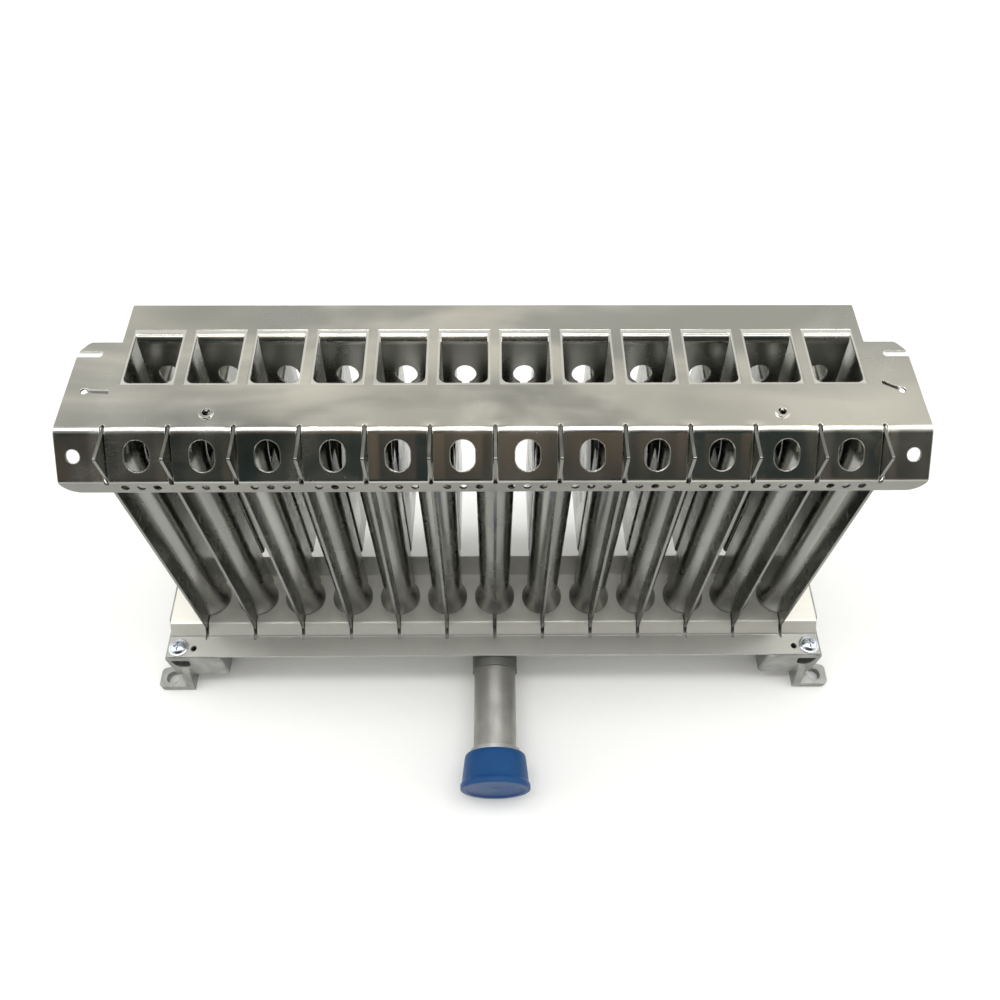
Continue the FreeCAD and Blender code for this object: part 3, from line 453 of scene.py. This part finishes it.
def modified_mesh(name, mesh, kind, **settings):
    """Mesh with one modifier applied."""
    holder = add_object(name, mesh)
    modifier = holder.modifiers.new(name, kind)
    for key, value in settings.items():
        setattr(modifier, key, value)
    shape = holder.evaluated_get(bpy.context.evaluated_depsgraph_get())
    made = bpy.data.meshes.new_from_object(shape)
    bpy.data.objects.remove(holder)
    return made


# ---- thread cap ------------------------------------------------------------
CAP_SEGMENTS = 96
# (distance from the rear lip, radius) in mm, from the inside's end round to the dish in the end face
CAP_INSIDE = [(13.0, 0.0), (13.0, 9.6), (12.85, 10.2), (12.4, 10.55), (0.9, 10.55)]
CAP_REAR_LIP = [(0.35, 10.75), (0.0, 11.2), (0.0, 11.6), (0.15, 12.1), (0.55, 12.5), (1.2, 12.75)]
CAP_WALL = [(2.1, 12.9), (6.8, 13.4), (11.2, 13.85), (11.55, 13.93), (11.85, 14.08)]
CAP_FLANGE = [(12.1, 14.3), (12.5, 14.5), (13.9, 14.5), (14.3, 14.42), (14.55, 14.15), (14.6, 13.8)]
CAP_DISH = [(14.6, 12.6), (14.5, 12.2), (14.2, 11.9), (14.05, 11.4), (14.05, 1.4), (14.2, 0.9), (14.25, 0.0)]
CAP_PROFILE = CAP_INSIDE + CAP_REAR_LIP + CAP_WALL + CAP_FLANGE + CAP_DISH


def thread_cap():
    """Moulded cap: round rear lip, tapered wall, flange and a dished end."""
    low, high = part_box("thread_cap")
    rear_middle = ((low[0] + high[0]) / 2, high[1], (low[2] + high[2]) / 2)
    bm = bmesh.new()
    lathe(bm, CAP_PROFILE, rear_middle, (0, -1, 0), CAP_SEGMENTS)
    shell = finished_mesh("cap_shell", bm)
    add_piece("cap_shell", shell, "thread_cap", "thread_cap", sharp_degrees=40)


# ---- panel screws ----------------------------------------------------------
SCREW_SEGMENTS = 64
SCREW_HEAD_R = 4.15 * MM
SCREW_HEAD_H = 2.2 * MM
# (height over the seat, radius) in mm, from the head's top down to the shank's end
SCREW_CROWN = [(2.2, 0.0), (2.18, 0.9), (2.10, 1.7), (1.93, 2.4), (1.65, 3.0)]
SCREW_RIM = [(1.25, 3.4), (0.85, 3.58), (0.62, 3.62)]
SCREW_WASHER = [(0.58, 3.95), (0.50, 4.10), (0.30, 4.15), (0.08, 4.12), (0.0, 4.0)]
SCREW_SHANK = [(0.0, 2.0), (-7.4, 2.0), (-8.0, 1.5), (-8.0, 0.0)]
SCREW_PROFILE = SCREW_CROWN + SCREW_RIM + SCREW_WASHER + SCREW_SHANK
CROSS_REACH = 2.35 * MM
CROSS_HALF_W = 0.55 * MM
CROSS_TOP = 2.6 * MM            # above the seat, so the cutter stands 0.4 mm out of the head
CROSS_BOTTOM = 1.1 * MM
CROSS_TAPER = 0.55


def cross_cutter(middle):
    """Tapered cross, wide at its top face and narrow at the bottom of the recess."""
    bm = bmesh.new()
    rings = []
    for size, height in ((1.0, CROSS_TOP), (CROSS_TAPER, CROSS_BOTTOM)):
        a = CROSS_REACH * size
        b = CROSS_HALF_W * size
        quarter = [(a, b), (b, b), (b, a)]
        outline = quarter + [(-y, x) for x, y in quarter]
        outline += [(-x, -y) for x, y in outline]
        rings.append([bm.verts.new(Vector(middle) + Vector((x, y, height))) for x, y in outline])
    top, bottom = rings
    for i in range(len(top)):
        j = (i + 1) % len(top)
        bm.faces.new([top[i], top[j], bottom[j], bottom[i]])
    bm.faces.new(top)
    bm.faces.new(bottom)
    return finished_mesh("cross_cutter", bm)


def panel_screws():
    """Two pan-head screws with a washer ring under the head and a cross recess."""
    low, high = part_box("panel_screws")
    whole = bmesh.new()
    for x in (low[0] + SCREW_HEAD_R, high[0] - SCREW_HEAD_R):
        seat_middle = (x, (low[1] + high[1]) / 2, high[2] - SCREW_HEAD_H)
        bm = bmesh.new()
        lathe(bm, SCREW_PROFILE, seat_middle, (0, 0, 1), SCREW_SEGMENTS)
        blank = finished_mesh("screw", bm)
        cutter = add_object("cutter", cross_cutter(seat_middle))
        whole.from_mesh(modified_mesh("screw", blank, "BOOLEAN", object=cutter, operation="DIFFERENCE"))
        bpy.data.objects.remove(cutter)
    screws = finished_mesh("screws", whole)
    add_piece("pan_head_screws", screws, "burner", "panel_screws", sharp_degrees=30)


# ---- flame port strips -----------------------------------------------------
STRIP_CROWN_R = 7.25 * MM
STRIP_T = 0.8 * MM
SLIT_W = 0.7 * MM
SLIT_PITCH = 3.0 * MM
SLIT_HALF = 3.2 * MM            # half of a slit's length, across the strip
# the grid lines on one side of a strip's middle; the slits end on one of them
STRIP_SIDE = [*mm(0.8, 1.6, 2.4), SLIT_HALF, *mm(3.6, 4.1, 4.6, 5.0)]
STRIP_COLUMNS = [-x for x in reversed(STRIP_SIDE)] + [0.0] + STRIP_SIDE


def slit_rows(low, high):
    """Heights of the grid lines up a strip: its ends, and both edges of every slit."""
    count = round((high - low) / SLIT_PITCH) - 1
    lowest = (low + high) / 2 - (count - 1) / 2 * SLIT_PITCH
    rows = [low]
    for i in range(count):
        slit = lowest + i * SLIT_PITCH
        rows += [slit - SLIT_W / 2, slit + SLIT_W / 2]
    return rows + [high]


def port_strip(node):
    """Crowned strip with a ladder of flame slits, rolled from sheet."""
    low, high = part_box(node)
    middle = (low[0] + high[0]) / 2
    crown_axis = high[1] - STRIP_CROWN_R
    crowned = [(middle + x, crown_axis + math.sqrt(STRIP_CROWN_R ** 2 - x ** 2)) for x in STRIP_COLUMNS]
    rows = slit_rows(low[2], high[2])
    bm = bmesh.new()
    grid = [[bm.verts.new((x, y, z)) for x, y in crowned] for z in rows]
    for i in range(len(rows) - 1):
        for j in range(len(STRIP_COLUMNS) - 1):
            beside_slit = abs(STRIP_COLUMNS[j] + STRIP_COLUMNS[j + 1]) / 2 > SLIT_HALF
            if i % 2 == 0 or beside_slit:
                bm.faces.new([grid[i][j], grid[i][j + 1], grid[i + 1][j + 1], grid[i + 1][j]])
    flat = finished_mesh(node, bm)
    inward = 1.0 if flat.polygons[0].normal.y > 0 else -1.0
    solid = modified_mesh(node, flat, "SOLIDIFY", thickness=STRIP_T, offset=-inward, use_rim=True)
    add_piece(node.replace("port", "flame"), solid, "burner", node, sharp_degrees=50)


thread_cap()
panel_screws()
for node_name in list(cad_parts):
    if node_name.endswith("port_strip"):
        port_strip(node_name)


# ---- stage -----------------------------------------------------------------
FLOOR_HALF = 4.0
FLOOR_GAP = 0.05 * MM
# name, place, target, size, power, whether metal mirrors it
LIGHTS = (
    ("sky", (0.0, 0.10, 1.6), (0, 0, 0), (1.8, 0.5), 14.0, True),
    ("left", (-1.3, 0.1, 0.9), (0, 0, 0.05), (1.3, 1.3), 6.0, True),
    ("right", (1.3, 0.1, 0.9), (0, 0, 0.05), (1.3, 1.3), 5.0, True),
    ("front_fill", (0.0, -1.1, 1.1), (0, -0.1, 0), (1.4, 0.8), 7.0, False),
    ("rear", (0.0, 1.2, 0.45), (0, 0.02, 0.03), (1.0, 0.3), 5.0, False),
)
CAMERA_AT = Vector((-1.49, -158.84, 378.46)) * MM
CAMERA_VIEW = Vector((0.0105, 0.5370, -0.8435))
CAMERA_UP = Vector((0.0031, 0.8436, 0.5371))
CAMERA_LENS = 31.06
CAMERA_SENSOR = 36.0
CAMERA_CLIP = 0.01
# Parts of the room, by the direction of view: a pair is the start and the end of a soft step.
BEAM_UP = (0.715, 0.775)
BEAM_REARWARD = (0.3, 0.5)
BEAM_SIDEWAYS = (0.22, 0.42)
GLOOM_MIDDLE = Vector((0.0, -0.86, 0.50))
GLOOM_OUTER, GLOOM_INNER = 52, 30       # degrees off its middle


def floor_paper(tree):
    """Pale, matt, faintly uneven paper."""
    shade = tree.rise(tree.noise(3.0), (0.3, 0.7))
    return {
        "Base Color": tree.mix(shade, (0.90, 0.90, 0.895), (0.885, 0.885, 0.88)),
        "Roughness": 0.8,
        "Normal": tree.bump(tree.noise(700.0), 0.02 * MM),
    }


def floor():
    mesh = bpy.data.meshes.new("floor")
    signs = ((-1, -1), (1, -1), (1, 1), (-1, 1))
    corners = [(x * FLOOR_HALF, y * FLOOR_HALF, -FLOOR_GAP) for x, y in signs]
    mesh.from_pydata(corners, [], [(0, 1, 2, 3)])
    mesh.materials.append(material("floor_paper", floor_paper))
    add_object("floor", mesh)


def area_light(name, place, target, size, power, mirrored):
    data = bpy.data.lights.new(name, "AREA")
    data.shape = "RECTANGLE"
    data.size, data.size_y = size
    data.energy = power
    made = add_object(name, data)
    made.location = place
    made.rotation_euler = (Vector(target) - Vector(place)).to_track_quat("-Z", "Y").to_euler()
    made.visible_glossy = mirrored


def surroundings():
    """Bright room with a dark part low in front, which the chamfer mirrors, and a dim beam overhead."""
    world = bpy.data.worlds.new("room")
    bpy.context.scene.world = world
    world.use_nodes = True
    tree = Tree(world.node_tree)
    direction = tree.node("TexCoord").outputs["Generated"]

    level_way = tree.node("Mapping", {"Vector": direction, "Scale": (1.0, 1.0, 3.2)}).outputs[0]
    patches = tree.node("TexNoise", {"Vector": level_way, "Scale": 3.4, "Detail": 2.0}).outputs["Fac"]
    room = tree.mix(tree.rise(patches, (0.38, 0.60)), (0.94, 0.925, 0.86), (0.50, 0.50, 0.465))

    parts = tree.node("SeparateXYZ", {0: direction}).outputs
    beam = tree.times(tree.rise(parts["Z"], BEAM_UP), tree.rise(parts["Y"], BEAM_REARWARD))
    beam = tree.times(beam, tree.fall(tree.math("ABSOLUTE", parts["X"]), BEAM_SIDEWAYS))
    room = tree.mix(tree.times(beam, 0.65), room, (0.30, 0.30, 0.285))

    cloud = tree.node("TexNoise", {"Vector": direction, "Scale": 2.2, "Detail": 2.0}).outputs["Fac"]
    gloom = tree.mix(tree.rise(cloud, (0.50, 0.64)), (0.018, 0.030, 0.031), (0.155, 0.122, 0.094))
    gloom_way = tuple(GLOOM_MIDDLE.normalized())
    dot = tree.node("VectorMath", {0: direction, 1: gloom_way}, operation="DOT_PRODUCT").outputs["Value"]
    gloom_edge = [math.cos(math.radians(angle)) for angle in (GLOOM_OUTER, GLOOM_INNER)]
    in_gloom = tree.rise(dot, gloom_edge)

    colour = tree.mix(in_gloom, room, gloom)
    seen = tree.node("LightPath").outputs["Is Camera Ray"]
    colour = tree.mix(seen, colour, (0.95, 0.95, 0.95))
    background = tree.node("Background", {"Color": colour, "Strength": 0.9})
    tree.node("OutputWorld", {"Surface": background.outputs[0]})


def camera():
    data = bpy.data.cameras.new("camera")
    data.lens = CAMERA_LENS
    data.sensor_width = CAMERA_SENSOR
    data.clip_start = CAMERA_CLIP
    made = add_object("camera", data)
    view = CAMERA_VIEW.normalized()
    right = view.cross(CAMERA_UP).normalized()
    up = right.cross(view)
    turn = Matrix((right, up, -view)).transposed().to_4x4()
    made.matrix_world = Matrix.Translation(CAMERA_AT) @ turn
    bpy.context.scene.camera = made


floor()
surroundings()
for light in LIGHTS:
    area_light(*light)
camera()
bpy.context.scene.view_settings.view_transform = "Standard"
